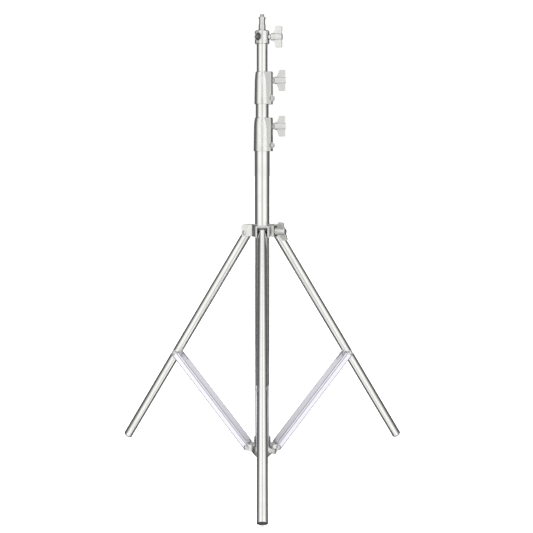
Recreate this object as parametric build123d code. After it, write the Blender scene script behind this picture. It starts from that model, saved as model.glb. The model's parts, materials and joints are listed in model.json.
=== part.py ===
"""Telescopic lighting stand: three-section column, sliding yoke, three legs with channel braces."""
from build123d import *
import os
from math import asin, cos, degrees, hypot, atan2, radians, sin, sqrt

# Driving dimensions, millimetres and degrees.
# Legs and braces, measured in the vertical plane of one leg.
leg_radius = 11.5
leg_wall = 1.5
leg_length = 658.0            # pivot to the foot's end face
leg_angle = 33.9              # from the vertical, standing
folded_leg_angle = 2.4        # from the vertical, folded
leg_pivot_radius = 39.5       # column axis to leg pivot
leg_overhang = 6.5            # leg end above its pivot
leg_cap = 1.5
foot_cap = 2.0
plug_depth = 24.0
plug_slack = 0.03
brace_on_leg = 374.0          # leg pivot to brace pivot, along the leg
hub_pivot_radius = 38.6
hub_pivot_height = 31.9
azimuths = {"front": -90.0, "right": 30.0, "left": 150.0}
service_azimuth = -30.0       # side of the yoke knob and of the hub's screw

# Pressed channel of a brace.
channel_wall = 1.5
channel_half_gap = 12.0
web_offset = 8.7              # pivot line to the web's inner face
flange_reach = 7.8            # pivot line to the open edge
web_cut_top = 33.0            # web's end to the leg pivot
web_cut_bottom = 12.0         # web's end to the hub pivot
ear_slope = 12.0              # length over which a flange narrows to its ear
bend_radius = 3.0
ear_radius = 6.0

# Rivets and pins.
pin_radius = 3.0
pin_slack = 0.06
pin_head_radius = 5.5
pin_head = 2.0
side_slack = 0.3

# Column: outer radius and wall of each section, bottom to top.
base_radius = 17.5
base_wall = 2.0
middle_radius = 15.0
middle_wall = 1.5
top_radius = 12.5
top_wall = 1.5
slide_slack = 0.05
base_bottom = 18.0
base_collar_top = 820.7
middle_bottom = 75.0
middle_collar_top = 925.0
top_bottom = 174.0
bush_height = 24.0

# Collars.
base_collar_height = 77.6
middle_collar_height = 74.4
tube_seat = 30.0              # collar top to the tube's end inside it
liner_height = 4.0
knob_drop = 20.0              # collar top to the knob axis
bolt_rise = 13.5              # collar bottom to the clamp bolt axis
lug_radius = 6.5
slit_width = 2.0
collar_reach = 25.0           # column axis to the clamp block's end
collar_stub = 2.3
flat_reach = 19.0             # column axis to where the block narrows to its end
base_cheek_half = 16.7
middle_cheek_half = 15.0
nose_half = 9.5
nose_radius = 2.0             # upright edges of the clamp block
crest_radius = 3.0
bolt_seat = 12.5              # slit's middle to the bolt head's seat
groove_depth = 1.1            # mould groove down the front

# Yoke.
yoke_bottom = 544.3
yoke_top = 573.0
yoke_roof = 4.2
yoke_ring_radius = 24.0
yoke_arm_reach = 48.5
cheek_gap = leg_radius + side_slack
cheek_wall = 4.0
yoke_bore = 19.5
yoke_boss_reach = 36.0

# Bottom hub.
hub_bottom = 12.5
hub_top = 61.0
hub_ring_radius = 25.0
hub_neck_radius = 20.5
hub_lug_half = channel_half_gap - side_slack
hub_lug_radius = 9.5
hub_screw_height = 30.0
hub_screw_reach = 37.0

# Wing knobs and their studs.
stud_radius = 4.0
stud_slack = 0.05
pad_radius = 5.0
pad_thickness = 3.0
knob_length = 25.5
yoke_knob_turn = 28.0         # rest position of the yoke's wings about their axis
knob_gap = 1.0
knob_hub_radius = 8.6
knob_tip_radius = 7.4
wing_span = 23.8              # knob axis to a wing's tip
wing_width = 16.0
wing_thickness = 6.0

# Head and spigot.
head_bottom = 987.0
head_top = 1017.3
head_radius = 16.8
head_turn = -12.0             # azimuth of the head's knob
head_stem = 34.0
cross_bore_radius = 8.5
cross_bore_height = 1002.6
cross_boss_radius = 10.0
cross_boss_reach = 16.0
cross_turn = -38.0            # bore's lean from the front
head_stud_start = 11.6        # head's axis to its stud, clear of the bore
head_stub_reach = 20.5
spigot_radius = 8.0
spigot_waist = 6.9
spigot_base_top = 1029.6
spigot_shoulder = 1041.8
spigot_flange_top = 1047.4
stud_top = 1054.0
thread_radius = 4.76          # 3/8 inch thread
tenon_radius = 5.0
tenon_depth = 5.5

# Worked out from the above.
theta = radians(leg_angle)
leg_pivot_height = leg_length * cos(theta) + leg_radius * sin(theta)
foot_radius = leg_pivot_radius + leg_length * sin(theta)
brace_top_radius = leg_pivot_radius + brace_on_leg * sin(theta)
brace_top_height = leg_pivot_height - brace_on_leg * cos(theta)
brace_length = hypot(brace_top_radius - hub_pivot_radius, brace_top_height - hub_pivot_height)
brace_angle = degrees(atan2(brace_top_radius - hub_pivot_radius, brace_top_height - hub_pivot_height))
folded_theta = radians(folded_leg_angle)
folded_top_radius = leg_pivot_radius + brace_on_leg * sin(folded_theta)
folded_psi = asin((folded_top_radius - hub_pivot_radius) / brace_length)
folded_brace_angle = degrees(folded_psi)
folded_top_height = hub_pivot_height + brace_length * cos(folded_psi)
yoke_travel = folded_top_height + brace_on_leg * cos(folded_theta) - leg_pivot_height
front_reach = foot_radius + leg_radius * cos(theta)
rear_reach = foot_radius / 2 + leg_radius * sqrt(1 - (sin(theta) / 2) ** 2)
column_y = (front_reach - rear_reach) / 2      # puts the box's centre at the origin
base_knob_height = base_collar_top - knob_drop
middle_knob_height = middle_collar_top - knob_drop
base_tube_top = base_collar_top - tube_seat
middle_tube_top = middle_collar_top - tube_seat
yoke_knob_height = (yoke_bottom + yoke_top) / 2
# End of driving values.


def save(name, shape):
    """Move a shape built about the column axis into the part's frame and write it."""
    placed = Pos(0, column_y, 0) * shape
    placed.label = name
    export_step(placed, f"parts/{name}.step")


def rod(radius, low, high):
    """Upright cylinder on the Z axis from low to high."""
    return Pos(0, 0, low) * Cylinder(radius, high - low, align=(Align.CENTER, Align.CENTER, Align.MIN))


def tube(outer, wall, low, high):
    return rod(outer, low, high) - rod(outer - wall, low - 1, high + 1)


def along_x(radius, start, end, height=0.0):
    """Cylinder lying along X at a height."""
    return Pos(0, 0, height) * Rot(0, 90, 0) * rod(radius, start, end)


def along_y(radius, start, end):
    return Rot(-90, 0, 0) * rod(radius, start, end)


def block(x0, x1, half_y, z0, z1):
    return Pos((x0 + x1) / 2, 0, (z0 + z1) / 2) * Box(x1 - x0, 2 * half_y, z1 - z0)


def long_edges_at(shape, x):
    """Edges along Z that lie in the plane at x."""
    return shape.edges().filter_by(Axis.Z).filter_by(lambda e: abs(e.center().X - x) < 0.01)


def dome(radius, height):
    """Rivet head: a spherical cap standing on z = 0."""
    ball = (radius ** 2 + height ** 2) / (2 * height)
    cap = Pos(0, 0, height - ball) * Sphere(ball)
    return cap & rod(radius + 1, 0, height + 1)


def pin_with_heads(half_length):
    """Round pin along Y with a rivet head at each end."""
    body = rod(pin_radius, -half_length, half_length)
    head = Pos(0, 0, half_length) * dome(pin_head_radius, pin_head)
    pin = body + head + Rot(180, 0, 0) * head
    return Rot(-90, 0, 0) * pin


# Column tubes and the pieces inside them.
def base_tube():
    return tube(base_radius, base_wall, base_bottom, base_tube_top)


def base_plug():
    return rod(base_radius - base_wall - plug_slack, base_bottom, base_bottom + 10)


def riser_bush(outer, riser_radius, riser_wall, low):
    """Guide on a riser's lower end: a skirt round the tube's foot and a stem inside the tube."""
    stem = rod(riser_radius - riser_wall - plug_slack, low, low + bush_height)
    skirt = rod(outer, low - 12, low)
    return stem + skirt - rod(riser_radius - riser_wall - 3, low - 13, low + bush_height + 1)


def collar_liner(tube_radius, riser_radius, top):
    """Guide ring between the tube's end and the collar's shoulder."""
    low = top - tube_seat
    return tube(tube_radius, tube_radius - riser_radius - slide_slack, low, low + liner_height)


# Brake: a pad, the stud that presses it, and the wing knob on the stud.
def brake_cut(inner):
    """Space that a brake pad and its stud take out of a casting, along X from the pad's face."""
    pad_room = along_x(pad_radius + plug_slack, inner - 3, inner + pad_thickness)
    stud_room = along_x(stud_radius + stud_slack, inner, inner + 60)
    return pad_room + stud_room


def brake_pad(inner):
    return along_x(pad_radius, inner, inner + pad_thickness - 0.1)


def stud(inner, face):
    """Threaded stud, modelled at its outer radius, from the pad to inside the knob."""
    start = inner + pad_thickness
    return along_x(stud_radius, start, face + knob_gap + knob_length - 8)


def wing_knob(face):
    """Wing knob along X: a tapering hub and two flat wings, seated on the boss at x = face."""
    start = face + knob_gap
    end = start + knob_length
    hub = Pos(start, 0, 0) * Rot(0, 90, 0) * Cone(
        knob_hub_radius, knob_tip_radius, knob_length, align=(Align.CENTER, Align.CENTER, Align.MIN)
    )
    hub = fillet(hub.faces().sort_by(Axis.X)[-1].edges(), 1.2)
    wing_start = end - wing_width
    profile = make_face(Polyline(
        (start + 3, 0),
        (start + 5, knob_hub_radius),
        (wing_start, wing_span - 5),
        (wing_start + 1, wing_span),
        (end - 1, wing_span),
        (end - 0.4, wing_span - 3),
        (end - 1.2, 0),
        close=True,
    ))
    outline = fillet(profile.vertices().filter_by(lambda v: v.Y > wing_span - 6), 0.9)
    wing = extrude(Plane.XZ * outline, wing_thickness / 2, both=True)
    wing = fillet(wing.edges().filter_by(lambda e: e.center().Z > knob_hub_radius + 3), 0.7)
    knob = hub + wing + Rot(180, 0, 0) * wing
    return knob - along_x(stud_radius, start - 1, end - 8)


# Collars that join two column sections.
def collar_profile(crown, shoulder, foot, low, high):
    """Outer skin: quick flare below the top edge, then a slow taper to the foot."""
    outline = Polyline(
        (0, low),
        (foot - 0.6, low),
        (foot, low + 0.8),
        (shoulder, high - 20),
        (shoulder - 0.7, high - 10),
        (crown, high - 1.5),
        (crown - 1.0, high),
        (0, high),
        close=True,
    )
    return revolve(Plane.XZ * make_face(outline), Axis.Z, 360)


def collar(crown, shoulder, foot, cheek_half, tube_radius, riser_radius, height, top):
    low = top - height
    skin = collar_profile(crown, shoulder, foot, low, top)
    plan = make_face(Polyline(
        (0, -cheek_half),
        (flat_reach, -cheek_half),
        (collar_reach, -nose_half),
        (collar_reach, nose_half),
        (flat_reach, cheek_half),
        (0, cheek_half),
        close=True,
    ))
    cheek = Pos(0, 0, low) * extrude(plan, height - 0.6)
    cheek = fillet(long_edges_at(cheek, collar_reach) + long_edges_at(cheek, flat_reach), nose_radius)
    crest = cheek.edges().filter_by(lambda e: e.center().X > flat_reach - 1 and e.center().Z > top - 1)
    cheek = fillet(crest, crest_radius)
    stub = along_x(7.0, 0, collar_reach + collar_stub, top - knob_drop)
    lug = Pos(collar_reach - 2, 0, low + bolt_rise) * along_y(lug_radius, -bolt_seat, bolt_seat)
    body = skin + cheek + stub + lug
    seat = top - tube_seat + liner_height
    body -= rod(tube_radius, low - 1, seat)
    body -= rod(riser_radius + 0.35, seat - 1, top + 1)
    body -= block(riser_radius, collar_reach + 20, slit_width / 2, low - 1, low + bolt_rise + 12)
    spot_faces = along_y(lug_radius, -25, -bolt_seat) + along_y(lug_radius, bolt_seat, 25)
    body -= Pos(collar_reach - 2, 0, low + bolt_rise) * (along_y(pin_radius, -20, 20) + spot_faces)
    groove = Rot(0, 0, 45) * Box(5, 5, 2 * height)
    body -= Pos(0, groove_depth - shoulder - 5 / sqrt(2), low) * groove
    return body - Pos(0, 0, top - knob_drop) * brake_cut(riser_radius + 0.1)


def collar_bolt(low):
    """Clamp bolt through the two cheeks, domed head at the front and a nut at the back."""
    shank = along_y(pin_radius, -bolt_seat, bolt_seat + 5.5)
    head = Rot(90, 0, 0) * Pos(0, 0, bolt_seat) * dome(5.4, 3.2)
    socket = Rot(90, 0, 0) * Pos(0, 0, bolt_seat + 1.7) * extrude(RegularPolygon(2.0, 6), 3)
    nut = Rot(-90, 0, 0) * Pos(0, 0, bolt_seat) * extrude(RegularPolygon(5.4, 6), 4.5)
    return Pos(collar_reach - 2, 0, low + bolt_rise) * (shank + head + nut - socket)


# Sliding yoke that the legs hang from.
def yoke_casting():
    body = rod(yoke_ring_radius, yoke_bottom, yoke_top)
    for azimuth in azimuths.values():
        arm = block(0, yoke_arm_reach, cheek_gap + cheek_wall, yoke_bottom, yoke_top)
        arm = fillet(arm.edges().filter_by(Axis.Y).filter_by(lambda e: e.center().X > 1), 5.0)
        body += Rot(0, 0, azimuth) * arm
    boss = block(0, yoke_boss_reach, 10.5, yoke_bottom + 1, yoke_top - 1)
    boss = fillet(boss.edges().filter_by(Axis.X), 3.0)
    body += Rot(0, 0, service_azimuth) * boss
    for azimuth in azimuths.values():
        slot = block(yoke_ring_radius + 0.8, 70, cheek_gap, yoke_bottom - 5, yoke_top - yoke_roof)
        hole = Pos(leg_pivot_radius, 0, leg_pivot_height) * along_y(pin_radius, -30, 30)
        body -= Rot(0, 0, azimuth) * (slot + hole)
    body -= rod(yoke_bore, yoke_bottom - 1, yoke_top + 1)
    return body - Rot(0, 0, service_azimuth) * Pos(0, 0, yoke_knob_height) * brake_cut(base_radius + 0.1)


def yoke_liner():
    ring = tube(yoke_bore, yoke_bore - base_radius - slide_slack, yoke_bottom, yoke_top)
    window = Pos(0, 0, yoke_knob_height) * along_x(pad_radius + plug_slack, 10, 30)
    return ring - Rot(0, 0, service_azimuth) * window


def yoke_pins():
    solids = []
    for azimuth in azimuths.values():
        pin = Pos(leg_pivot_radius, 0, leg_pivot_height) * pin_with_heads(cheek_gap + cheek_wall)
        solids.append(Rot(0, 0, azimuth) * pin)
    return Compound(solids)


# Legs, built along Z from the pivot and then leant outward.
def place_leg(shape, azimuth):
    leant = Pos(leg_pivot_radius, 0, leg_pivot_height) * Rot(0, -leg_angle, 0) * shape
    return Rot(0, 0, azimuth) * leant


def leg_hole():
    return along_y(pin_radius + pin_slack, -20, 20)


def leg_tube():
    return tube(leg_radius, leg_wall, foot_cap - leg_length, leg_overhang - leg_cap) - leg_hole()


def leg_top_plug():
    stem = rod(leg_radius - leg_wall - plug_slack, -plug_depth, leg_overhang - leg_cap)
    cap = rod(leg_radius, leg_overhang - leg_cap, leg_overhang)
    return stem + cap - leg_hole()


def foot_plug():
    stem = rod(leg_radius - leg_wall - plug_slack, foot_cap - leg_length, foot_cap - leg_length + plug_depth)
    cap = rod(leg_radius, -leg_length, foot_cap - leg_length)
    return stem + cap


# Braces, built along Z from the hub pivot and then leant outward.
def place_brace(shape, azimuth):
    leant = Pos(hub_pivot_radius, 0, hub_pivot_height) * Rot(0, brace_angle, 0) * shape
    return Rot(0, 0, azimuth) * leant


def flange_outline():
    """Side view of a flange: full depth along the middle, a narrower rounded ear at each pivot."""
    back = -web_offset - channel_wall
    side = make_face(Polyline(
        (flange_reach, 0),
        (flange_reach, brace_length),
        (-ear_radius, brace_length),
        (back, brace_length - ear_slope),
        (back, ear_slope),
        (-ear_radius, 0),
        close=True,
    ))
    centre = (flange_reach - ear_radius) / 2
    half = (flange_reach + ear_radius) / 2
    ends = Pos(centre, 0) * Circle(half) + Pos(centre, brace_length) * Circle(half)
    return side + ends


def brace_channel():
    outer = channel_half_gap + channel_wall
    sides = extrude(Plane.XZ * flange_outline(), outer, both=True)
    back = -web_offset - channel_wall
    sides = fillet(long_edges_at(sides, back), bend_radius)
    low = -20
    high = brace_length + 20
    hollow = block(-web_offset, flange_reach + 5, channel_half_gap, low, high)
    hollow = fillet(long_edges_at(hollow, -web_offset), bend_radius - channel_wall)
    below = block(-web_offset - 5, flange_reach + 5, channel_half_gap, low, web_cut_bottom)
    above = block(-web_offset - 5, flange_reach + 5, channel_half_gap, brace_length - web_cut_top, high)
    foot_hole = along_y(pin_radius + pin_slack, -30, 30)
    top_hole = Pos(0, 0, brace_length) * along_y(pin_radius, -30, 30)
    return sides - hollow - below - above - foot_hole - top_hole


def brace_rivets():
    """Rivet ends in the two upper ears; they stop at the ears' inner faces."""
    half = channel_half_gap + channel_wall
    whole = pin_with_heads(half)
    gap = block(-20, 20, channel_half_gap, -20, 20)
    ends = Pos(0, 0, brace_length) * (whole - gap)
    return Compound(ends.solids())


# Bottom hub.
def hub_casting():
    outline = Polyline(
        (0, hub_bottom),
        (base_radius - 1.5, hub_bottom),
        (hub_ring_radius, hub_bottom + 10),
        (hub_ring_radius, hub_pivot_height + 8),
        (hub_neck_radius, hub_pivot_height + 14),
        (hub_neck_radius, hub_top - 1),
        (hub_neck_radius - 1, hub_top),
        (0, hub_top),
        close=True,
    )
    body = revolve(Plane.XZ * make_face(outline), Axis.Z, 360)
    for azimuth in azimuths.values():
        plate = block(0, hub_pivot_radius, hub_lug_half, hub_pivot_height - 9.5, hub_pivot_height + 8)
        nose = Pos(hub_pivot_radius, 0, hub_pivot_height) * along_y(hub_lug_radius, -hub_lug_half, hub_lug_half)
        body += Rot(0, 0, azimuth) * (plate + nose)
    boss = along_x(lug_radius, 0, hub_screw_reach, hub_screw_height)
    body += Rot(0, 0, service_azimuth) * boss
    for azimuth in azimuths.values():
        hole = Pos(hub_pivot_radius, 0, hub_pivot_height) * along_y(pin_radius, -30, 30)
        body -= Rot(0, 0, azimuth) * hole
    body -= rod(base_radius, base_bottom, hub_top + 1)
    body -= rod(6, hub_bottom - 1, base_bottom + 1)
    return body - Rot(0, 0, service_azimuth) * along_x(stud_radius, 10, 60, hub_screw_height)


def hub_pins():
    solids = []
    for azimuth in azimuths.values():
        half = channel_half_gap + channel_wall + side_slack
        pin = Pos(hub_pivot_radius, 0, hub_pivot_height) * pin_with_heads(half)
        solids.append(Rot(0, 0, azimuth) * pin)
    return Compound(solids)


def hub_screw():
    """Socket set screw that holds the hub on the base tube."""
    screw = along_x(stud_radius, base_radius, hub_screw_reach - 2, hub_screw_height)
    key = Pos(hub_screw_reach - 6, 0, hub_screw_height) * Rot(0, 90, 0) * extrude(RegularPolygon(2.2, 6), 5)
    return Rot(0, 0, service_azimuth) * (screw - key)


# Head casting and spigot.
def head_casting():
    body = rod(head_radius, head_bottom, head_top)
    body = fillet(body.edges().sort_by(Axis.Z)[-1], 4.0)
    body = fillet(body.edges().sort_by(Axis.Z)[0], 1.2)
    land = Pos(0, 0, cross_bore_height) * Box(40, 2 * cross_boss_reach, 40)
    body = Rot(0, 0, cross_turn - head_turn) * land & body
    boss = Pos(0, 0, cross_bore_height) * along_y(cross_boss_radius, -cross_boss_reach, cross_boss_reach)
    boss = Rot(0, 0, cross_turn - head_turn) * boss
    stub = along_x(5.75, 0, head_stub_reach, cross_bore_height)
    stem = rod(top_radius - top_wall - plug_slack, head_bottom - head_stem, head_bottom + 5)
    body = body + boss + stub + stem
    body -= tube(top_radius, top_wall, head_bottom - head_stem - 1, head_bottom + 4)
    bore = Pos(0, 0, cross_bore_height) * along_y(cross_bore_radius, -30, 30)
    body -= Rot(0, 0, cross_turn - head_turn) * bore
    body -= rod(tenon_radius, head_top - tenon_depth, head_top + 5)
    body -= along_x(stud_radius + stud_slack, 0, 40, cross_bore_height)
    return Rot(0, 0, head_turn) * body


def spigot():
    """Lamp spigot: threaded tip, shoulder, waist and base, screwed into the head."""
    outline = Polyline(
        (0, head_top - tenon_depth),
        (tenon_radius, head_top - tenon_depth),
        (tenon_radius, head_top),
        (spigot_radius + 1.2, head_top),
        (spigot_radius, head_top + 2.5),
        (spigot_radius, spigot_base_top),
        (spigot_waist, spigot_base_top + 2.5),
        (spigot_waist, spigot_shoulder),
        (spigot_radius, spigot_shoulder + 2.5),
        (spigot_radius, spigot_flange_top - 0.5),
        (spigot_radius - 0.5, spigot_flange_top),
        (thread_radius, spigot_flange_top),
        (thread_radius, stud_top - 0.6),
        (thread_radius - 0.6, stud_top),
        (0, stud_top),
        close=True,
    )
    return revolve(Plane.XZ * make_face(outline), Axis.Z, 360)


def save_knob(name, inner, face, height, azimuth, turn=0):
    """Stud and wing knob of one brake, turned to its side of the column."""
    place = Rot(0, 0, azimuth) * Pos(0, 0, height) * Rot(turn, 0, 0)
    save(f"{name}_stud", place * stud(inner, face))
    save(f"{name}_knob", place * wing_knob(face))


def save_pad(name, inner, height, azimuth):
    save(f"{name}_brake_pad", Rot(0, 0, azimuth) * Pos(0, 0, height) * brake_pad(inner))


def build_column():
    save("base_tube", base_tube())
    save("base_tube_plug", base_plug())
    save("base_collar", collar(
        16.9, 19.1, 20.0, base_cheek_half, base_radius, middle_radius, base_collar_height, base_collar_top
    ))
    save("base_collar_bolt", collar_bolt(base_collar_top - base_collar_height))
    save("base_collar_liner", collar_liner(base_radius, middle_radius, base_collar_top))
    save_pad("base_collar", middle_radius + 0.1, base_knob_height, 0)
    save_knob("base_collar", middle_radius + 0.1, collar_reach + collar_stub, base_knob_height, 0)

    save("middle_tube", tube(middle_radius, middle_wall, middle_bottom, middle_tube_top))
    save("middle_tube_bush", riser_bush(
        base_radius - base_wall - slide_slack, middle_radius, middle_wall, middle_bottom
    ))
    save("middle_collar", collar(
        15.2, 17.0, 18.0, middle_cheek_half, middle_radius, top_radius, middle_collar_height, middle_collar_top
    ))
    save("middle_collar_bolt", collar_bolt(middle_collar_top - middle_collar_height))
    save("middle_collar_liner", collar_liner(middle_radius, top_radius, middle_collar_top))
    save_pad("middle_collar", top_radius + 0.1, middle_knob_height, 0)
    save_knob("middle_collar", top_radius + 0.1, collar_reach + collar_stub, middle_knob_height, 0)

    save("top_tube", tube(top_radius, top_wall, top_bottom, head_bottom + 4))
    save("top_tube_bush", riser_bush(
        middle_radius - middle_wall - slide_slack, top_radius, top_wall, top_bottom
    ))
    save("head_casting", head_casting())
    save("spigot", spigot())
    save_knob("head", head_stud_start - pad_thickness, head_stub_reach, cross_bore_height, head_turn)


def build_base():
    save("hub_casting", hub_casting())
    save("hub_pins", hub_pins())
    save("hub_screw", hub_screw())
    save("yoke_casting", yoke_casting())
    save("yoke_liner", yoke_liner())
    save("yoke_pins", yoke_pins())
    save_pad("yoke", base_radius + 0.1, yoke_knob_height, service_azimuth)
    save_knob("yoke", base_radius + 0.1, yoke_boss_reach, yoke_knob_height, service_azimuth, yoke_knob_turn)
    for side, azimuth in azimuths.items():
        save(f"leg_tube_{side}", place_leg(leg_tube(), azimuth))
        save(f"leg_top_plug_{side}", place_leg(leg_top_plug(), azimuth))
        save(f"foot_plug_{side}", place_leg(foot_plug(), azimuth))
        save(f"brace_channel_{side}", place_brace(brace_channel(), azimuth))
        save(f"brace_rivets_{side}", place_brace(brace_rivets(), azimuth))


os.makedirs("parts", exist_ok=True)
build_column()
build_base()
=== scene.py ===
import bpy
import bmesh
import json
import math
from mathutils import Matrix, Vector


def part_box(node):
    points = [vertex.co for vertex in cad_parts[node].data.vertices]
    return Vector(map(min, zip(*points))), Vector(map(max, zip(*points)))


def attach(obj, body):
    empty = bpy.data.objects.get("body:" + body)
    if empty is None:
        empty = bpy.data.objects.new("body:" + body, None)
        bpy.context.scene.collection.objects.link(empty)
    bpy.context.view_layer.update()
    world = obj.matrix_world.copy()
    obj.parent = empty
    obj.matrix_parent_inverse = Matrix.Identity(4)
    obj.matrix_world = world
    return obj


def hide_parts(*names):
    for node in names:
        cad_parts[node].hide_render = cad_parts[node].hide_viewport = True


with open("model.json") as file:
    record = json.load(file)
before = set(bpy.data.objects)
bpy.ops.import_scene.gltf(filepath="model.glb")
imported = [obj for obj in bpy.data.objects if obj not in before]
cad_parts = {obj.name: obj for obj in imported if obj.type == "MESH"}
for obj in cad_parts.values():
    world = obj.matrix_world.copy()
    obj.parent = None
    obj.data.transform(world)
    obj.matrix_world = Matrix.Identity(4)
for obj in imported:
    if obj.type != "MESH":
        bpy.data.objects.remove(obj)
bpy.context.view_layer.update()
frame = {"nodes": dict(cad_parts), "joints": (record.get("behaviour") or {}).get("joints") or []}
mm = 0.001
cadNodes = frame["nodes"]
joints = {joint["name"]: joint for joint in frame["joints"]}
sides = ("front", "right", "left")

# the column stands at the middle of the base tube's box
tubeLow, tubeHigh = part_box("base_tube")
columnX = (tubeLow.x + tubeHigh.x) / 2
columnY = (tubeLow.y + tubeHigh.y) / 2
columnPlace = Matrix.Translation((columnX, columnY, 0))


# mesh helpers
def newObject(name, mesh, *materials):
    piece = bpy.data.objects.new(name, mesh)
    bpy.context.scene.collection.objects.link(piece)
    mesh.materials.clear()
    for material in materials:
        mesh.materials.append(material)
    return piece


def smoothMesh(mesh, angle=40):
    mesh.shade_smooth()
    mesh.set_sharp_from_angle(angle=math.radians(angle))


def settle(piece, body, slotName, *stoodFor):
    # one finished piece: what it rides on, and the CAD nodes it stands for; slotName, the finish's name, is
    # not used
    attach(piece, body)
    if stoodFor:
        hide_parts(*stoodFor)


def roundCorners(points, radius, steps=3, closed=True):
    # swaps each corner for a short curve, no longer than the sides allow
    result = []
    count = len(points)
    for index, point in enumerate(points):
        here = Vector(point)
        if not closed and index in (0, count - 1):
            result.append(tuple(here))
            continue
        before = Vector(points[index - 1]) - here
        after = Vector(points[(index + 1) % count]) - here
        start = here + before.normalized() * min(radius, before.length * 0.45)
        end = here + after.normalized() * min(radius, after.length * 0.45)
        for step in range(steps + 1):
            t = step / steps
            result.append(tuple(start.lerp(here, t).lerp(here.lerp(end, t), t)))
    return result


def lathe(outline, segments=72, closed=True):
    # outline holds (radius, height) pairs; closed makes a ring, open runs from axis to axis
    bm = bmesh.new()
    uvLayer = bm.loops.layers.uv.new("alongUv")
    lengths = [0.0]
    for first, second in zip(outline, outline[1:] + outline[:1]):
        lengths.append(lengths[-1] + (Vector(second) - Vector(first)).length)
    rings = []
    for radius, height in outline:
        if radius < 1e-7:
            rings.append([bm.verts.new((0, 0, height))])
            continue
        turns = [2 * math.pi * index / segments for index in range(segments)]
        rings.append([bm.verts.new((radius * math.cos(t), radius * math.sin(t), height)) for t in turns])
    pairs = len(rings) if closed else len(rings) - 1
    for row in range(pairs):
        low = rings[row]
        high = rings[(row + 1) % len(rings)]
        for index in range(segments):
            corners = []
            for ring, step, level in ((low, 0, 0), (low, 1, 0), (high, 1, 1), (high, 0, 1)):
                vert = ring[(index + step) % len(ring)]
                if vert not in [kept[0] for kept in corners]:
                    corners.append((vert, (index + step) / segments, lengths[row + level]))
            if len(corners) < 3:
                continue
            face = bm.faces.new([corner[0] for corner in corners])
            for loop, corner in zip(face.loops, corners):
                loop[uvLayer].uv = corner[1:]
    bmesh.ops.recalc_face_normals(bm, faces=bm.faces)
    mesh = bpy.data.meshes.new("lathe")
    bm.to_mesh(mesh)
    bm.free()
    smoothMesh(mesh)
    return mesh


def joinMeshes(name, meshes):
    # several closed shells of one piece, in one mesh, keeping their UV maps
    bm = bmesh.new()
    for mesh in meshes:
        bm.from_mesh(mesh)
    whole = bpy.data.meshes.new(name)
    bm.to_mesh(whole)
    bm.free()
    smoothMesh(whole)
    return whole


def bakeModifiers(piece, name):
    # the evaluated result becomes a plain mesh on a new object, and the working object goes
    graph = bpy.context.evaluated_depsgraph_get()
    graph.update()
    mesh = bpy.data.meshes.new_from_object(piece.evaluated_get(graph), depsgraph=graph)
    bpy.data.objects.remove(piece)
    done = bpy.data.objects.new(name, mesh)
    bpy.context.scene.collection.objects.link(done)
    return done


def setInputs(piece, modifier, values):
    # a tree's inputs are set by the socket's identifier
    for item in modifier.node_group.interface.items_tree:
        if item.item_type == "SOCKET" and item.in_out == "INPUT" and item.name in values:
            modifier[item.identifier] = values[item.name]


def hingePoint(jointName):
    return Vector(joints[jointName]["pos_m"])


def hingeAxis(jointName):
    return Vector(joints[jointName]["axis"]).normalized()


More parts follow.
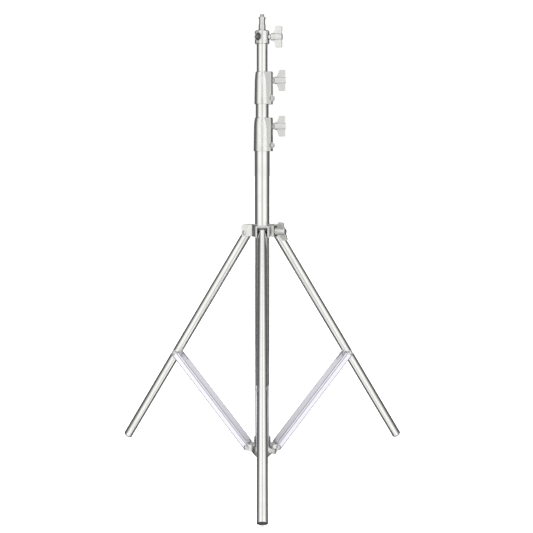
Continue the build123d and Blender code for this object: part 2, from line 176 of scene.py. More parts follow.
# shading helpers
class Shader:
    # a material with its principled shader and a few nodes wired by short calls
    def __init__(self, name, baseColor, metallic, roughness):
        self.material = bpy.data.materials.new(name)
        self.material.use_nodes = True
        self.nodes = self.material.node_tree.nodes
        self.links = self.material.node_tree.links
        self.principled = self.nodes["Principled BSDF"]
        self.principled.inputs["Base Color"].default_value = (*baseColor, 1)
        self.principled.inputs["Metallic"].default_value = metallic
        self.principled.inputs["Roughness"].default_value = roughness
        self.coords = self.nodes.new("ShaderNodeTexCoord")

    def mapped(self, source, scale):
        mapping = self.nodes.new("ShaderNodeMapping")
        mapping.inputs["Scale"].default_value = scale
        self.links.new(source, mapping.inputs["Vector"])
        return mapping.outputs["Vector"]

    def noise(self, vector, scale, detail=4, roughness=0.55):
        node = self.nodes.new("ShaderNodeTexNoise")
        node.inputs["Scale"].default_value = scale
        node.inputs["Detail"].default_value = detail
        node.inputs["Roughness"].default_value = roughness
        self.links.new(vector, node.inputs["Vector"])
        return node.outputs["Fac"]

    def voronoi(self, vector, scale):
        node = self.nodes.new("ShaderNodeTexVoronoi")
        node.inputs["Scale"].default_value = scale
        self.links.new(vector, node.inputs["Vector"])
        return node.outputs["Distance"]

    def ramp(self, value, low, high, fromLow=0.3, fromHigh=0.7):
        node = self.nodes.new("ShaderNodeMapRange")
        node.inputs["From Min"].default_value = fromLow
        node.inputs["From Max"].default_value = fromHigh
        node.inputs["To Min"].default_value = low
        node.inputs["To Max"].default_value = high
        self.links.new(value, node.inputs["Value"])
        return node.outputs["Result"]

    def math(self, operation, first, second):
        node = self.nodes.new("ShaderNodeMath")
        node.operation = operation
        for index, value in enumerate((first, second)):
            if isinstance(value, (int, float)):
                node.inputs[index].default_value = value
            else:
                self.links.new(value, node.inputs[index])
        return node.outputs[0]

    def mixColor(self, factor, first, second):
        node = self.nodes.new("ShaderNodeMix")
        node.data_type = "RGBA"
        self.links.new(factor, node.inputs["Factor"])
        for index, value in ((6, first), (7, second)):
            if isinstance(value, tuple):
                node.inputs[index].default_value = (*value, 1)
            else:
                self.links.new(value, node.inputs[index])
        return node.outputs[2]

    def edges(self, low, high):
        # bright along convex edges, dark in the corners
        geometry = self.nodes.new("ShaderNodeNewGeometry")
        return self.ramp(geometry.outputs["Pointiness"], 0.0, 1.0, low, high)

    def recess(self, distance, closed, clear):
        # 0 deep inside a gap or a bore, 1 in the open
        node = self.nodes.new("ShaderNodeAmbientOcclusion")
        node.samples = 8
        node.inputs["Distance"].default_value = distance
        return self.ramp(node.outputs["AO"], 0.0, 1.0, closed, clear)

    def bump(self, height, strength, distance, below=None):
        node = self.nodes.new("ShaderNodeBump")
        node.inputs["Strength"].default_value = strength
        node.inputs["Distance"].default_value = distance
        self.links.new(height, node.inputs["Height"])
        if below is not None:
            self.links.new(below, node.inputs["Normal"])
        return node.outputs["Normal"]

    def feed(self, socketName, value):
        self.links.new(value, self.principled.inputs[socketName])


# polished stainless tube: grinding rings round it, faint draw lines along it, handling marks
tubeFinish = {
    "color": (0.86, 0.86, 0.85),
    "handledColor": (0.79, 0.79, 0.775),
    "roughness": (0.10, 0.19),
    "ringsPerMetre": 2600,
    "ringDepth": 0.000004,
}


def polishedTube():
    shader = Shader("polishedTube", tubeFinish["color"], 1.0, 0.14)
    uv = shader.coords.outputs["UV"]
    rings = shader.noise(shader.mapped(uv, (3, tubeFinish["ringsPerMetre"], 1)), 1.0, 2)
    drawLines = shader.noise(shader.mapped(uv, (160, 4, 1)), 1.0, 3)
    marks = shader.noise(shader.coords.outputs["Object"], 22, 5)
    scuffs = shader.noise(shader.mapped(uv, (30, 260, 1)), 1.0, 6, 0.7)
    worn = shader.ramp(scuffs, 0.0, 1.0, 0.62, 0.72)
    shader.feed("Base Color", shader.mixColor(shader.ramp(marks, 0, 1, 0.45, 0.75),
                                              tubeFinish["color"], tubeFinish["handledColor"]))
    base = shader.ramp(marks, *tubeFinish["roughness"])
    lined = shader.math("ADD", base, shader.math("MULTIPLY", shader.ramp(drawLines, 0, 1), 0.03))
    shader.feed("Roughness", shader.math("ADD", lined, shader.math("MULTIPLY", worn, 0.06)))
    fine = shader.bump(rings, 0.35, tubeFinish["ringDepth"])
    shader.feed("Normal", shader.bump(worn, 0.15, 0.00001, fine))
    return shader.material


# tumbled aluminium casting; the knobs are finer grained and more matt
castFinish = {
    "color": (0.86, 0.86, 0.845),
    # a darker tone for random mottling, and the painted shade in concave corners
    "mottleAndCornerShadeColor": (0.60, 0.60, 0.58),
    "edgeColor": (0.90, 0.90, 0.89),
    "roughness": (0.18, 0.28),
    "grain": 900,
    "grainDepth": 0.00006,
    # painted shade in bores and gaps: the occlusion range and how far it reaches
    "recess": (0.2, 0.62),
    "recessReach": 14 * mm,
}
knobFinish = dict(
    castFinish,
    color=(0.84, 0.84, 0.83),
    mottleAndCornerShadeColor=(0.58, 0.58, 0.57),
    edgeColor=(0.92, 0.92, 0.915),
    roughness=(0.34, 0.44),
    grain=1100,
    grainDepth=0.00003,
)


def castMetal(name, finish):
    grain = finish["grain"]
    depth = finish["grainDepth"]
    shader = Shader(name, finish["color"], 1.0, sum(finish["roughness"]) / 2)
    place = shader.coords.outputs["Object"]
    fine = shader.noise(place, grain, 3)
    coarse = shader.noise(place, grain / 9, 4)
    pits = shader.ramp(shader.voronoi(place, grain * 0.45), 0, 1, 0.05, 0.28)
    mottled = shader.mixColor(shader.ramp(coarse, 0.0, 0.35), finish["color"], finish["mottleAndCornerShadeColor"])
    # painted shade: concave corners, found by pointiness, take the darker colour
    cornerShaded = shader.mixColor(shader.edges(0.44, 0.50), finish["mottleAndCornerShadeColor"], mottled)
    rubbedAndShadedColor = shader.mixColor(shader.edges(0.52, 0.60), cornerShaded, finish["edgeColor"])
    # painted shade: deep in gaps and bores the colour goes nearly black, by ambient occlusion
    paintedRecessShade = tuple(part * 0.06 for part in finish["mottleAndCornerShadeColor"])
    clear = shader.recess(finish["recessReach"], *finish["recess"])
    shader.feed("Base Color", shader.mixColor(clear, paintedRecessShade, rubbedAndShadedColor))
    rubbed = shader.math("MULTIPLY", shader.edges(0.52, 0.60), -0.10)
    shader.feed("Roughness", shader.math("ADD", shader.ramp(coarse, *finish["roughness"]), rubbed))
    low = shader.bump(pits, 0.18, depth)
    shader.feed("Normal", shader.bump(shader.math("ADD", fine, coarse), 0.35, depth, low))
    return shader.material


# drawn aluminium channel with a faint violet cast from its anodising
channelFinish = {
    "color": (0.62, 0.61, 0.655),
    "lineColor": (0.55, 0.54, 0.60),
    # painted shade: the dark lines along the bends and the open edge
    "paintedShadeLineColor": (0.13, 0.125, 0.15),
    "roughness": (0.30, 0.42),
    "linesAcross": 2400,
    "paintedShadeLines": ((-0.0060, 0.0009), (0.1106, 0.0011), (0.0894, 0.0011), (0.0070, 0.0014)),
}


def drawnChannel():
    shader = Shader("drawnChannel", channelFinish["color"], 0.3, 0.32)
    uv = shader.coords.outputs["UV"]
    lines = shader.noise(shader.mapped(uv, (channelFinish["linesAcross"], 9, 1)), 1.0, 3)
    broad = shader.noise(shader.mapped(uv, (channelFinish["linesAcross"] / 8, 5, 1)), 1.0, 2)
    cloud = shader.noise(shader.coords.outputs["Object"], 60, 4)
    streaks = shader.math("MULTIPLY", shader.ramp(lines, 0, 1), shader.ramp(broad, 0.3, 1))
    parts = shader.nodes.new("ShaderNodeSeparateXYZ")
    shader.links.new(uv, parts.inputs["Vector"])
    shadeLineMask = 0.0
    for place, halfWidth in channelFinish["paintedShadeLines"]:
        # a painted line of shade along a flange or beside the web's bends, with a shallow groove bumped in,
        # by its place across the map
        away = shader.math("ABSOLUTE", shader.math("SUBTRACT", parts.outputs["X"], place), 0)
        shadeLineMask = shader.math("MAXIMUM", shadeLineMask, shader.ramp(away, 1, 0, halfWidth * 0.4, halfWidth * 1.3))
    plain = shader.mixColor(streaks, channelFinish["color"], channelFinish["lineColor"])
    shader.feed("Base Color", shader.mixColor(shadeLineMask, plain, channelFinish["paintedShadeLineColor"]))
    rough = shader.ramp(cloud, *channelFinish["roughness"])
    shader.feed("Roughness", shader.math("ADD", rough, shader.math("MULTIPLY", streaks, 0.06)))
    fine = shader.bump(shader.math("ADD", lines, broad), 0.3, 0.000012)
    shader.feed("Normal", shader.bump(shader.math("SUBTRACT", 1.0, shadeLineMask), 0.5, 0.00025, fine))
    return shader.material


def turnedSteel(name="turnedSteel", color=(0.74, 0.74, 0.735), roughness=(0.18, 0.28), rings=5200):
    shader = Shader(name, color, 1.0, roughness[0])
    uv = shader.coords.outputs["UV"]
    grooves = shader.noise(shader.mapped(uv, (2, rings, 1)), 1.0, 2)
    cloud = shader.noise(shader.coords.outputs["Object"], 120, 4)
    dull = tuple(part * 0.86 for part in color)
    shader.feed("Base Color", shader.mixColor(shader.ramp(cloud, 0, 0.8), color, dull))
    shader.feed("Roughness", shader.ramp(cloud, *roughness))
    shader.feed("Normal", shader.bump(grooves, 0.4, 0.000008))
    return shader.material


def platedSteel():
    # zinc-plated fasteners: soft spangle, with painted shade darkening the recesses
    shader = Shader("platedSteel", (0.72, 0.72, 0.715), 1.0, 0.3)
    place = shader.coords.outputs["Object"]
    spangle = shader.voronoi(place, 700)
    cloud = shader.noise(place, 300, 4)
    tone = shader.mixColor(shader.ramp(spangle, 0, 0.7, 0.1, 0.7), (0.76, 0.76, 0.755), (0.62, 0.62, 0.61))
    shader.feed("Base Color", shader.mixColor(shader.edges(0.44, 0.5), (0.38, 0.38, 0.37), tone))
    shader.feed("Roughness", shader.ramp(cloud, 0.22, 0.36))
    shader.feed("Normal", shader.bump(cloud, 0.2, 0.00003))
    return shader.material


def footRubber():
    # black moulded rubber, scuffed grey where it rubs the floor
    shader = Shader("footRubber", (0.018, 0.018, 0.019), 0.0, 0.62)
    place = shader.coords.outputs["Object"]
    grain = shader.noise(place, 1400, 4)
    scuff = shader.noise(place, 180, 6, 0.7)
    worn = shader.ramp(scuff, 0, 1, 0.52, 0.75)
    dusty = shader.mixColor(worn, (0.016, 0.016, 0.017), (0.062, 0.06, 0.057))
    shader.feed("Base Color", shader.mixColor(shader.edges(0.52, 0.6), dusty, (0.075, 0.073, 0.07)))
    shader.feed("Roughness", shader.ramp(scuff, 0.5, 0.78))
    shader.feed("Normal", shader.bump(shader.math("ADD", grain, scuff), 0.4, 0.00008))
    return shader.material


def nylon():
    shader = Shader("nylon", (0.74, 0.72, 0.66), 0.0, 0.45)
    place = shader.coords.outputs["Object"]
    flow = shader.noise(shader.mapped(place, (1, 1, 0.2)), 260, 4)
    tone = shader.mixColor(shader.ramp(flow, 0, 1), (0.76, 0.74, 0.68), (0.68, 0.655, 0.59))
    shader.feed("Base Color", tone)
    shader.feed("Roughness", shader.ramp(flow, 0.38, 0.52))
    shader.feed("Normal", shader.bump(flow, 0.2, 0.00004))
    shader.principled.inputs["Subsurface Weight"].default_value = 0.15
    shader.principled.inputs["Subsurface Radius"].default_value = (0.002, 0.0018, 0.0015)
    return shader.material


tubeMaterial = polishedTube()
castMaterial = castMetal("castAluminium", castFinish)
knobMaterial = castMetal("polishedCasting", knobFinish)
channelMaterial = drawnChannel()
spigotMaterial = turnedSteel()
plugMaterial = turnedSteel("platedInsert", (0.84, 0.84, 0.835), (0.12, 0.2), 3000)
fastenerMaterial = platedSteel()
rubberMaterial = footRubber()
nylonMaterial = nylon()
print("materials ready")


# column and leg tubes
tubeShape = {"lip": 0.4 * mm, "baseWall": 2.0 * mm, "riserWall": 1.5 * mm, "sides": 112}
legShape = {"wall": 1.5 * mm, "overhang": 6.5 * mm, "cap": 1.5 * mm, "footCap": 2.0 * mm,
            "stem": 24.0 * mm, "slack": 0.03 * mm, "crownCorner": 0.9 * mm, "sides": 80}
# the rubber foot: its tread's recess and rim, and the groove round its stem
footShape = {"recess": 0.5 * mm, "rim": 5.0 * mm, "slope": 0.6 * mm, "corner": 0.35 * mm,
             "grooveLow": 8 * mm, "grooveHigh": 11.6 * mm, "groove": 0.8 * mm, "grooveSlope": 0.6 * mm}
legRadius = (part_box("leg_tube_front")[1].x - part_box("leg_tube_front")[0].x) / 2


def tubeMesh(radius, wall, low, high, sideCount):
    outline = [(radius - wall, low), (radius, low), (radius, high), (radius - wall, high)]
    return lathe(roundCorners(outline, tubeShape["lip"]), sideCount)


def columnTubes():
    walls = {"base": tubeShape["baseWall"], "middle": tubeShape["riserWall"], "top": tubeShape["riserWall"]}
    bodies = {"base": "base", "middle": "middle_riser", "top": "top_riser"}
    for name, wall in walls.items():
        low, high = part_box(name + "_tube")
        mesh = tubeMesh((high.x - low.x) / 2, wall, low.z, high.z, tubeShape["sides"])
        mesh.transform(columnPlace)
        piece = newObject(name + "TubePolished", mesh, tubeMaterial)
        settle(piece, bodies[name], "polished_tube", name + "_tube")


def armFrame(origin, along, across):
    # an arm's own frame: Z along the arm, Y along its pivots
    sideways = across.cross(along)
    turned = Matrix((sideways, across, along)).transposed().to_4x4()
    return Matrix.Translation(origin) @ turned


def braceTop(side):
    low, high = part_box(f"brace_rivets_{side}")
    return (low + high) / 2


def legFrame(side):
    pivot = hingePoint(f"leg_{side}_hinge")
    up = (pivot - braceTop(side)).normalized()
    return armFrame(pivot, up, hingeAxis(f"leg_{side}_hinge"))


def legReach(side):
    # pivot to the foot's end face: the face's lowest point is on the floor
    pivot = hingePoint(f"leg_{side}_hinge")
    up = (pivot - braceTop(side)).normalized()
    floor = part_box(f"foot_plug_{side}")[0].z
    return (pivot.z - floor - legRadius * math.sqrt(1 - up.z ** 2)) / up.z


def footOutline(inner, end, cap):
    # from the axis at the tread, round the rim, and up the stem to the axis again
    tread = end + footShape["recess"]
    rim = legRadius - footShape["rim"]
    low = cap + footShape["grooveLow"]
    high = cap + footShape["grooveHigh"]
    slope = footShape["grooveSlope"]
    waist = inner - footShape["groove"]
    return [(0, tread), (rim, tread), (rim + footShape["slope"], end), (legRadius, end), (legRadius, cap),
            (inner, cap), (inner, low), (waist, low + slope), (waist, high - slope), (inner, high),
            (inner, end + legShape["stem"]), (0, end + legShape["stem"])]


def legs():
    inner = legRadius - legShape["wall"] - legShape["slack"]
    for side in sides:
        frameHere = legFrame(side)
        end = -legReach(side)
        top = legShape["overhang"]
        tube = tubeMesh(legRadius, legShape["wall"], end + legShape["footCap"], top - legShape["cap"],
                        legShape["sides"])
        tube.transform(frameHere)
        settle(newObject("legTube_" + side, tube, tubeMaterial), "leg_" + side, "polished_tube",
               "leg_tube_" + side)
        plug = [(0, top - legShape["stem"]), (inner, top - legShape["stem"]), (inner, top - legShape["cap"]),
                (legRadius, top - legShape["cap"]), (legRadius, top), (0, top)]
        mesh = lathe(roundCorners(plug, legShape["crownCorner"], 4, False), legShape["sides"], False)
        mesh.transform(frameHere)
        settle(newObject("legInsert_" + side, mesh, plugMaterial), "leg_" + side, "plug_metal",
               "leg_top_plug_" + side)
        cap = end + legShape["footCap"]
        foot = roundCorners(footOutline(inner, end, cap), footShape["corner"], 3, False)
        mesh = lathe(foot, legShape["sides"], False)
        mesh.transform(frameHere)
        settle(newObject("footPlug_" + side, mesh, rubberMaterial), "leg_" + side, "foot_rubber",
               "foot_plug_" + side)


columnTubes()
legs()
print("tubes and feet done")


# castings: the CAD shape remeshed finely, so that its corners get a cast radius
castShape = {
    "base_collar": {"body": "base", "voxel": 0.45 * mm, "rounds": 2, "keep": 0.3},
    "middle_collar": {"body": "middle_riser", "voxel": 0.45 * mm, "rounds": 2, "keep": 0.3},
    "head_casting": {"body": "top_riser", "voxel": 0.5 * mm, "rounds": 4, "keep": 0.45},
    "yoke_casting": {"body": "yoke", "voxel": 0.6 * mm, "rounds": 4, "keep": 0.45},
    "hub_casting": {"body": "base", "voxel": 0.6 * mm, "rounds": 4, "keep": 0.45},
}
knobShape = {"voxel": 0.42 * mm, "rounds": 7, "keep": 0.4}
weldReach = 0.002 * mm
smoothingShare = 0.5


def weldedCopy(nodeName):
    # the CAD node's loose triangles, joined up
    bm = bmesh.new()
    bm.from_mesh(cadNodes[nodeName].data)
    bmesh.ops.remove_doubles(bm, verts=bm.verts, dist=weldReach)
    mesh = bpy.data.meshes.new(nodeName + "Welded")
    bm.to_mesh(mesh)
    bm.free()
    return mesh


def castPiece(name, nodeName, voxel, rounds, keep, material):
    work = newObject("work", weldedCopy(nodeName), material)
    remesh = work.modifiers.new("remesh", "REMESH")
    remesh.mode = "VOXEL"
    remesh.voxel_size = voxel
    smooth = work.modifiers.new("smooth", "SMOOTH")
    smooth.factor = smoothingShare
    smooth.iterations = rounds
    thin = work.modifiers.new("thin", "DECIMATE")
    thin.ratio = keep
    piece = bakeModifiers(work, name)
    piece.data.materials.clear()
    piece.data.materials.append(material)
    piece.data.shade_smooth()
    return piece


def castings():
    for nodeName, shape in castShape.items():
        piece = castPiece(nodeName + "_cast", nodeName, shape["voxel"], shape["rounds"], shape["keep"],
                          castMaterial)
        settle(piece, shape["body"], "cast_aluminium", nodeName)


def wingKnobs():
    for place in ("head", "middle_collar", "base_collar", "yoke"):
        knob = castPiece(place + "_wing", place + "_knob", knobShape["voxel"], knobShape["rounds"],
                         knobShape["keep"], knobMaterial)
        settle(knob, place + "_wing_knob", "knob_casting", place + "_knob")


castings()
wingKnobs()
print("castings done")


# brace channels: the pressed shape from the CAD, with a map along its length for the draw lines
def braceFrame(side):
    pivot = hingePoint(f"brace_{side}_hinge")
    along = (braceTop(side) - pivot).normalized()
    return armFrame(pivot, along, hingeAxis(f"brace_{side}_hinge"))


# the web's share of the map lies apart, so that the flanges' painted shade lines stay off it;
# the angles, in degrees, are for merging flat facets and for keeping an edge sharp
channelShape = {"webMapShift": 0.1, "webFacing": 0.7, "flatAngle": 0.5, "sharpAngle": 30}


def braces():
    for side in sides:
        mesh = weldedCopy("brace_channel_" + side)
        toArm = braceFrame(side).inverted()
        mesh.transform(toArm)
        bm = bmesh.new()
        bm.from_mesh(mesh)
        flat = math.radians(channelShape["flatAngle"])
        bmesh.ops.dissolve_limit(bm, angle_limit=flat, verts=bm.verts, edges=bm.edges)
        uvLayer = bm.loops.layers.uv.new("alongUv")
        for face in bm.faces:
            onWeb = abs(face.normal.x) > channelShape["webFacing"]
            for loop in face.loops:
                point = loop.vert.co
                across = point.y + channelShape["webMapShift"] if onWeb else point.x
                loop[uvLayer].uv = (across, point.z)
        bm.to_mesh(mesh)
        bm.free()
        smoothMesh(mesh, channelShape["sharpAngle"])
        mesh.transform(braceFrame(side))
        settle(newObject("braceChannel_" + side, mesh, channelMaterial), "brace_" + side,
               "channel_aluminium", "brace_channel_" + side)


braces()
print("braces done")


# trees: copies spread round an axis, a screw thread, and grip rings
class Tree:
    # a geometry tree with named inputs; each call adds one node
    def __init__(self, name, inputs):
        self.group = bpy.data.node_groups.new(name, "GeometryNodeTree")
        face = self.group.interface
        face.new_socket("Geometry", in_out="INPUT", socket_type="NodeSocketGeometry")
        for inputName, kind in inputs.items():
            face.new_socket(inputName, in_out="INPUT", socket_type="NodeSocket" + kind)
        face.new_socket("Geometry", in_out="OUTPUT", socket_type="NodeSocketGeometry")
        self.inputs = self.group.nodes.new("NodeGroupInput").outputs

    def add(self, kind, values=None, **settings):
        node = self.group.nodes.new(kind)
        for name, value in settings.items():
            setattr(node, name, value)
        for key, value in (values or {}).items():
            if isinstance(value, bpy.types.NodeSocket):
                self.group.links.new(value, node.inputs[key])
            else:
                node.inputs[key].default_value = value
        return node.outputs

    def math(self, operation, first, second=0.0):
        return self.add("ShaderNodeMath", {0: first, 1: second}, operation=operation)[0]

    def finish(self, geometry):
        real = self.add("GeometryNodeRealizeInstances", {"Geometry": geometry})[0]
        paint = {"Geometry": real, "Material": self.inputs["Material"]}
        painted = self.add("GeometryNodeSetMaterial", paint)[0]
        out = self.group.nodes.new("NodeGroupOutput")
        self.group.links.new(painted, out.inputs[0])
        return self.group


def spreadTree():
    # the mesh it is given, copied round the Z axis with its X axis pointing outward
    tree = Tree("spreadRound", {"Count": "Int", "Radius": "Float", "Height": "Float", "First Angle": "Float",
                                "Material": "Material"})
    index = tree.add("GeometryNodeInputIndex")[0]
    step = tree.math("DIVIDE", 2 * math.pi, tree.inputs["Count"])
    angle = tree.math("ADD", tree.math("MULTIPLY", index, step), tree.inputs["First Angle"])
    place = tree.add("ShaderNodeCombineXYZ", {
        "X": tree.math("MULTIPLY", tree.inputs["Radius"], tree.math("COSINE", angle)),
        "Y": tree.math("MULTIPLY", tree.inputs["Radius"], tree.math("SINE", angle)),
        "Z": tree.inputs["Height"],
    })[0]
    points = tree.add("GeometryNodePoints", {"Count": tree.inputs["Count"], "Position": place})[0]
    turn = tree.add("ShaderNodeCombineXYZ", {"Z": angle})[0]
    copies = tree.add("GeometryNodeInstanceOnPoints", {"Points": points, "Instance": tree.inputs["Geometry"],
                                                       "Rotation": turn})[0]
    return tree.finish(copies)


def threadTree():
    # one helical ridge wound round the Z axis; the mesh it is given is left out
    tree = Tree("screwThread", {"Radius": "Float", "Pitch": "Float", "Length": "Float", "Low": "Float",
                                "Depth": "Float", "Material": "Material"})
    turns = tree.math("DIVIDE", tree.inputs["Length"], tree.inputs["Pitch"])
    line = tree.add("GeometryNodeCurveSpiral", {
        "Resolution": 24, "Rotations": turns, "Start Radius": tree.inputs["Radius"],
        "End Radius": tree.inputs["Radius"], "Height": tree.inputs["Length"],
    })[0]
    upright = tree.add("GeometryNodeSetCurveNormal", {"Curve": line}, mode="Z_UP")[0]
    flank = {"Resolution": 4, "Radius": tree.inputs["Depth"]}
    ridge = tree.add("GeometryNodeCurvePrimitiveCircle", flank)[0]
    sweep = {"Curve": upright, "Profile Curve": ridge, "Fill Caps": True}
    coil = tree.add("GeometryNodeCurveToMesh", sweep)[0]
    lift = tree.add("ShaderNodeCombineXYZ", {"Z": tree.inputs["Low"]})[0]
    raised = tree.add("GeometryNodeTransform", {"Geometry": coil, "Translation": lift})[0]
    return tree.finish(tree.add("GeometryNodeJoinGeometry", {0: raised})[0])


def ringTree():
    # raised rings, each one step wider than the last, lying at one height
    tree = Tree("gripRings", {"Count": "Int", "First Radius": "Float", "Step": "Float", "Height": "Float",
                              "Thickness": "Float", "Material": "Material"})
    index = tree.add("GeometryNodeInputIndex")[0]
    size = tree.math("ADD", tree.inputs["First Radius"], tree.math("MULTIPLY", index, tree.inputs["Step"]))
    place = tree.add("ShaderNodeCombineXYZ", {"Z": tree.inputs["Height"]})[0]
    points = tree.add("GeometryNodePoints", {"Count": tree.inputs["Count"], "Position": place})[0]
    loop = tree.add("GeometryNodeCurvePrimitiveCircle", {"Resolution": 36, "Radius": 1.0})[0]
    wide = tree.add("ShaderNodeCombineXYZ", {"X": size, "Y": size, "Z": size})[0]
    loops = tree.add("GeometryNodeInstanceOnPoints", {"Points": points, "Instance": loop, "Scale": wide})[0]
    lines = tree.add("GeometryNodeRealizeInstances", {"Geometry": loops})[0]
    section = {"Resolution": 8, "Radius": tree.inputs["Thickness"]}
    bead = tree.add("GeometryNodeCurvePrimitiveCircle", section)[0]
    return tree.finish(tree.add("GeometryNodeCurveToMesh", {"Curve": lines, "Profile Curve": bead})[0])


trees = {"spread": spreadTree(), "thread": threadTree(), "rings": ringTree()}


def grow(treeName, mesh, values):
    # runs a tree on a mesh and hands back the plain mesh that comes out
    work = newObject("work", mesh)
    modifier = work.modifiers.new(treeName, "NODES")
    modifier.node_group = trees[treeName]
    setInputs(work, modifier, values)
    done = bakeModifiers(work, "grown")
    result = done.data
    bpy.data.objects.remove(done)
    return result


# pins and rivets: domed heads with a faint flat on top
pinShape = {"radius": 3.0 * mm, "headRadius": 5.5 * mm, "dome": 2.0 * mm, "flat": 1.5 * mm, "curve": 2.2,
            "steps": 7, "sides": 48}
pinHalf = {"yoke": 15.8 * mm, "hub": 13.8 * mm, "brace": 13.5 * mm, "braceInner": 12.0 * mm}


def headOutline(seat):
    # axis-to-edge points of a domed head that sits at a height
    steps = pinShape["steps"]
    points = []
    for step in range(steps + 1):
        t = step / steps
        radius = pinShape["flat"] + (pinShape["headRadius"] - pinShape["flat"]) * t
        points.append((radius, seat + pinShape["dome"] * (1 - t ** pinShape["curve"])))
    return [(0, seat + pinShape["dome"])] + points


def pinMesh(half):
    # a whole pin lying along Y
    upper = headOutline(half) + [(pinShape["headRadius"], half), (pinShape["radius"], half)]
    lower = [(radius, -height) for radius, height in reversed(upper)]
    mesh = lathe(upper + lower, pinShape["sides"], False)
    mesh.transform(Matrix.Rotation(math.radians(90), 4, "X"))
    return mesh


def columnPins(name, body, half, jointName):
    pivot = hingePoint(jointName) - Vector((columnX, columnY, 0))
    mesh = grow("spread", pinMesh(half), {"Count": 3, "Radius": pivot.xy.length, "Height": pivot.z,
                                          "First Angle": math.atan2(pivot.y, pivot.x),
                                          "Material": fastenerMaterial})
    smoothMesh(mesh)
    mesh.transform(columnPlace)
    settle(newObject(name + "Pins", mesh, fastenerMaterial), body, "zinc_hardware", name + "_pins")


def braceRivets():
    for side in sides:
        outline = headOutline(0) + [(pinShape["headRadius"], 0), (pinShape["radius"], 0)]
        depth = pinHalf["braceInner"] - pinHalf["brace"]
        mesh = lathe(outline + [(pinShape["radius"], depth), (0, depth)], pinShape["sides"], False)
        mesh.transform(Matrix.Rotation(math.radians(90), 4, "Y"))
        mesh = grow("spread", mesh, {"Count": 2, "Radius": pinHalf["brace"], "Height": 0.0,
                                     "First Angle": 0.0, "Material": fastenerMaterial})
        smoothMesh(mesh)
        low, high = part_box(f"brace_rivets_{side}")
        across = hingeAxis(f"brace_{side}_hinge")
        up = Vector((0, 0, 1))
        mesh.transform(armFrame((low + high) / 2, up, across) @ Matrix.Rotation(math.radians(90), 4, "Z"))
        settle(newObject("braceRivets_" + side, mesh, fastenerMaterial), "brace_" + side, "zinc_hardware",
               "brace_rivets_" + side)


columnPins("yoke", "yoke", pinHalf["yoke"], "leg_right_hinge")
columnPins("hub", "base", pinHalf["hub"], "brace_right_hinge")
braceRivets()


# grip rings moulded in the feet's undersides
gripShape = {"Count": 3, "First Radius": 1.8 * mm, "Step": 1.7 * mm, "Thickness": 0.3 * mm}


def footRings():
    for side in sides:
        blank = bpy.data.meshes.new("blank")
        values = dict(gripShape, Height=footShape["recess"] - legReach(side), Material=rubberMaterial)
        mesh = grow("rings", blank, values)
        smoothMesh(mesh, 60)
        mesh.transform(legFrame(side))
        settle(newObject("footRings_" + side, mesh, rubberMaterial), "leg_" + side, "foot_rubber")


footRings()


# brake studs and the lamp spigot, each a turned core with a thread wound on it
threadShape = {"studRadius": 4.0 * mm, "studPitch": 1.25 * mm, "studChamfer": 0.4 * mm, "runOut": 1.2 * mm,
               "tipRadius": 4.76 * mm, "tipPitch": 1.5875 * mm, "tipLow": 36.2 * mm, "tipHigh": 41.2 * mm,
               "depth": 0.42 * mm, "coreDrop": 1.6, "ridgeDrop": 1.02, "studSides": 40, "tipSides": 72}


def threaded(core, radius, pitch, low, high, material):
    # the core mesh and the ridge round it, both upright on Z
    depth = threadShape["depth"]
    blank = bpy.data.meshes.new("blank")
    coil = radius - depth * threadShape["ridgeDrop"]
    ridge = grow("thread", blank, {"Radius": coil, "Pitch": pitch, "Length": high - low,
                                   "Low": low, "Depth": depth, "Material": material})
    mesh = joinMeshes("threaded", [core, ridge])
    smoothMesh(mesh, 30)
    return mesh


def studs():
    radius = threadShape["studRadius"]
    core = radius - threadShape["coreDrop"] * threadShape["depth"]
    chamfer = threadShape["studChamfer"]
    for place in ("head", "middle_collar", "base_collar", "yoke"):
        low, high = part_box(place + "_stud")
        axis = hingeAxis(place + "_knob_turn")
        middle = (low + high) / 2
        reach = (high.x - low.x - 2 * radius * abs(axis.y)) / abs(axis.x) / 2
        outline = [(0, -reach), (core - chamfer, -reach), (core, chamfer - reach), (core, reach - chamfer),
                   (core - chamfer, reach), (0, reach)]
        turned = lathe(outline, threadShape["studSides"], False)
        mesh = threaded(turned, radius, threadShape["studPitch"], threadShape["runOut"] - reach,
                        reach - threadShape["runOut"], fastenerMaterial)
        mesh.transform(armFrame(middle, axis, Vector((0, 0, 1))))
        settle(newObject(place + "StudThreaded", mesh, fastenerMaterial), place + "_wing_knob",
               "zinc_hardware", place + "_stud")


# radius and height of each corner, from the spigot's foot to its tip, in millimetres
spigotShape = (
    (0, 0), (5.0, 0), (5.0, 5.5), (9.2, 5.5), (9.2, 6.1), (8.0, 8.3), (8.0, 17.8), (6.9, 20.3), (6.9, 30.0),
    (8.0, 32.5), (8.0, 35.1), (7.5, 35.6), (4.1, 35.6), (4.1, 41.4), (3.4, 42.2), (0, 42.2),
)
spigotCorner = 0.45 * mm


def spigot():
    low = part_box("spigot")[0]
    corners = [(radius * mm, height * mm) for radius, height in spigotShape]
    outline = roundCorners(corners, spigotCorner, 3, False)
    turned = lathe(outline, threadShape["tipSides"], False)
    mesh = threaded(turned, threadShape["tipRadius"], threadShape["tipPitch"], threadShape["tipLow"],
                    threadShape["tipHigh"], spigotMaterial)
    mesh.transform(Matrix.Translation((columnX, columnY, low.z)))
    settle(newObject("spigotTurned", mesh, spigotMaterial), "top_riser", "spigot_steel", "spigot")


studs()
spigot()


# small fasteners with their edges eased
fastenerShape = {"voxel": 0.22 * mm, "rounds": 2, "keep": 0.4}


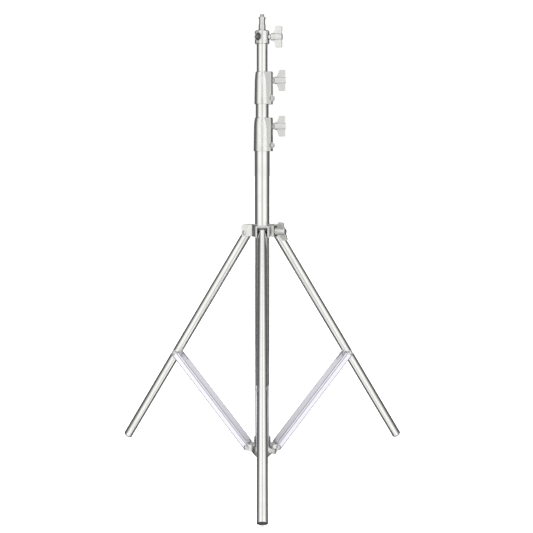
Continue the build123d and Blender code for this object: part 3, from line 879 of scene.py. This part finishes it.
def fasteners():
    owners = {"base_collar_bolt": "base", "middle_collar_bolt": "middle_riser", "hub_screw": "base"}
    for nodeName, body in owners.items():
        piece = castPiece(nodeName + "_eased", nodeName, fastenerShape["voxel"], fastenerShape["rounds"],
                          fastenerShape["keep"], fastenerMaterial)
        settle(piece, body, "zinc_hardware", nodeName)


def insideParts():
    # pieces hidden in the column keep their CAD shape and get a finish
    for nodeName, node in cadNodes.items():
        kind = nodeName.rsplit("_", 1)[-1]
        if kind in ("liner", "bush", "pad"):
            node.data.materials.clear()
            node.data.materials.append(nylonMaterial)
        if nodeName == "base_tube_plug":
            node.data.materials.clear()
            node.data.materials.append(rubberMaterial)


fasteners()
insideParts()
print("fasteners and trim done")


# floor, lit from beneath too, as a light table is, so that hardly a shadow is left
floorLook = {"reach": 30, "color": (0.97, 0.97, 0.97), "glow": 0.6}


def stageFloor():
    size = floorLook["reach"]
    mesh = bpy.data.meshes.new("floor")
    corners = [(-size, -size, 0), (size, -size, 0), (size, size, 0), (-size, size, 0)]
    mesh.from_pydata(corners, [], [(0, 1, 2, 3)])
    shader = Shader("paleFloor", floorLook["color"], 0.0, 0.9)
    shader.feed("Roughness", shader.ramp(shader.noise(shader.coords.outputs["Object"], 8), 0.85, 0.95))
    shader.principled.inputs["Specular IOR Level"].default_value = 0.0
    shader.principled.inputs["Emission Color"].default_value = (1, 1, 1, 1)
    shader.principled.inputs["Emission Strength"].default_value = floorLook["glow"]
    floor = newObject("floor", mesh, shader.material)
    floor.visible_glossy = False


# camera
cameraPlace = {"distance": 2.2098, "height": 0.7358, "pitch": 6.77, "yaw": 0.26, "lens": 63.787,
               "sensor": 36.0}


def stageCamera():
    data = bpy.data.cameras.new("camera")
    data.sensor_width = cameraPlace["sensor"]
    data.lens = cameraPlace["lens"]
    data.clip_start = 0.05
    camera = bpy.data.objects.new("camera", data)
    camera.location = (columnX, columnY - cameraPlace["distance"], cameraPlace["height"])
    tilt = math.radians(90 - cameraPlace["pitch"])
    camera.rotation_euler = (tilt, 0, -math.radians(cameraPlace["yaw"]))
    bpy.context.scene.collection.objects.link(camera)
    bpy.context.scene.camera = camera


# the studio: a white tent in front and dark behind, seen by the metal only
# each stop is an angle from the front, in degrees, and the tent's tone there
studio = {
    "tent": 1.15,
    "fill": 1.5,
    "backdrop": 1.05,
    "warmth": 0.985,
    "stops": ((0, 0.56), (9, 0.64), (16, 0.96), (24, 1.0), (54, 1.0), (66, 0.76), (78, 0.40), (92, 0.13),
              (116, 0.09), (146, 0.12), (180, 0.40)),
}


def stageWorld():
    world = bpy.data.worlds.new("studio")
    bpy.context.scene.world = world
    world.use_nodes = True
    nodes = world.node_tree.nodes
    links = world.node_tree.links
    nodes.clear()

    def mathNode(operation, first, second=0.0):
        node = nodes.new("ShaderNodeMath")
        node.operation = operation
        for index, value in enumerate((first, second)):
            if isinstance(value, float):
                node.inputs[index].default_value = value
            else:
                links.new(value, node.inputs[index])
        return node.outputs[0]

    def background(strength):
        node = nodes.new("ShaderNodeBackground")
        node.inputs["Color"].default_value = (1, 1, 1, 1)
        node.inputs["Strength"].default_value = strength
        return node

    def mixed(factor, first, second):
        node = nodes.new("ShaderNodeMixShader")
        for index, value in enumerate((factor, first, second)):
            links.new(value, node.inputs[index])
        return node.outputs[0]

    # 0 towards the front and 1 towards the back, the same on either hand
    coords = nodes.new("ShaderNodeTexCoord")
    parts = nodes.new("ShaderNodeSeparateXYZ")
    links.new(coords.outputs["Generated"], parts.inputs["Vector"])
    ahead = mathNode("MULTIPLY", parts.outputs["Y"], -1.0)
    turned = mathNode("ARCTAN2", parts.outputs["X"], ahead)
    share = mathNode("DIVIDE", mathNode("ABSOLUTE", turned), math.pi)
    ramp = nodes.new("ShaderNodeValToRGB")
    links.new(share, ramp.inputs["Fac"])
    stops = studio["stops"]
    elements = ramp.color_ramp.elements
    while len(elements) < len(stops):
        elements.new(0.5)
    for element, (angle, tone) in zip(elements, stops):
        element.position = angle / 180
        element.color = (tone, tone, tone * studio["warmth"], 1)
    tent = background(studio["tent"])
    links.new(ramp.outputs["Color"], tent.inputs["Color"])
    path = nodes.new("ShaderNodeLightPath").outputs
    lit = mixed(path["Is Glossy Ray"], background(studio["fill"]).outputs[0], tent.outputs[0])
    whole = mixed(path["Is Camera Ray"], lit, background(studio["backdrop"]).outputs[0])
    output = nodes.new("ShaderNodeOutputWorld")
    links.new(whole, output.inputs["Surface"])


overhead = {"size": 1.6, "energy": 28, "from": (-0.5, -0.9, 2.6), "towards": (0.5, 0.9, -2.3)}


def stageLight():
    data = bpy.data.lights.new("overhead", "AREA")
    data.shape = "DISK"
    data.size = overhead["size"]
    data.energy = overhead["energy"]
    light = bpy.data.objects.new("overhead", data)
    light.location = Vector((columnX, columnY, 0)) + Vector(overhead["from"])
    light.rotation_euler = Vector(overhead["towards"]).to_track_quat("-Z", "Y").to_euler()
    light.visible_glossy = False
    bpy.context.scene.collection.objects.link(light)


stageFloor()
stageCamera()
stageWorld()
stageLight()
bpy.context.scene.view_settings.view_transform = "Standard"

print("staged")
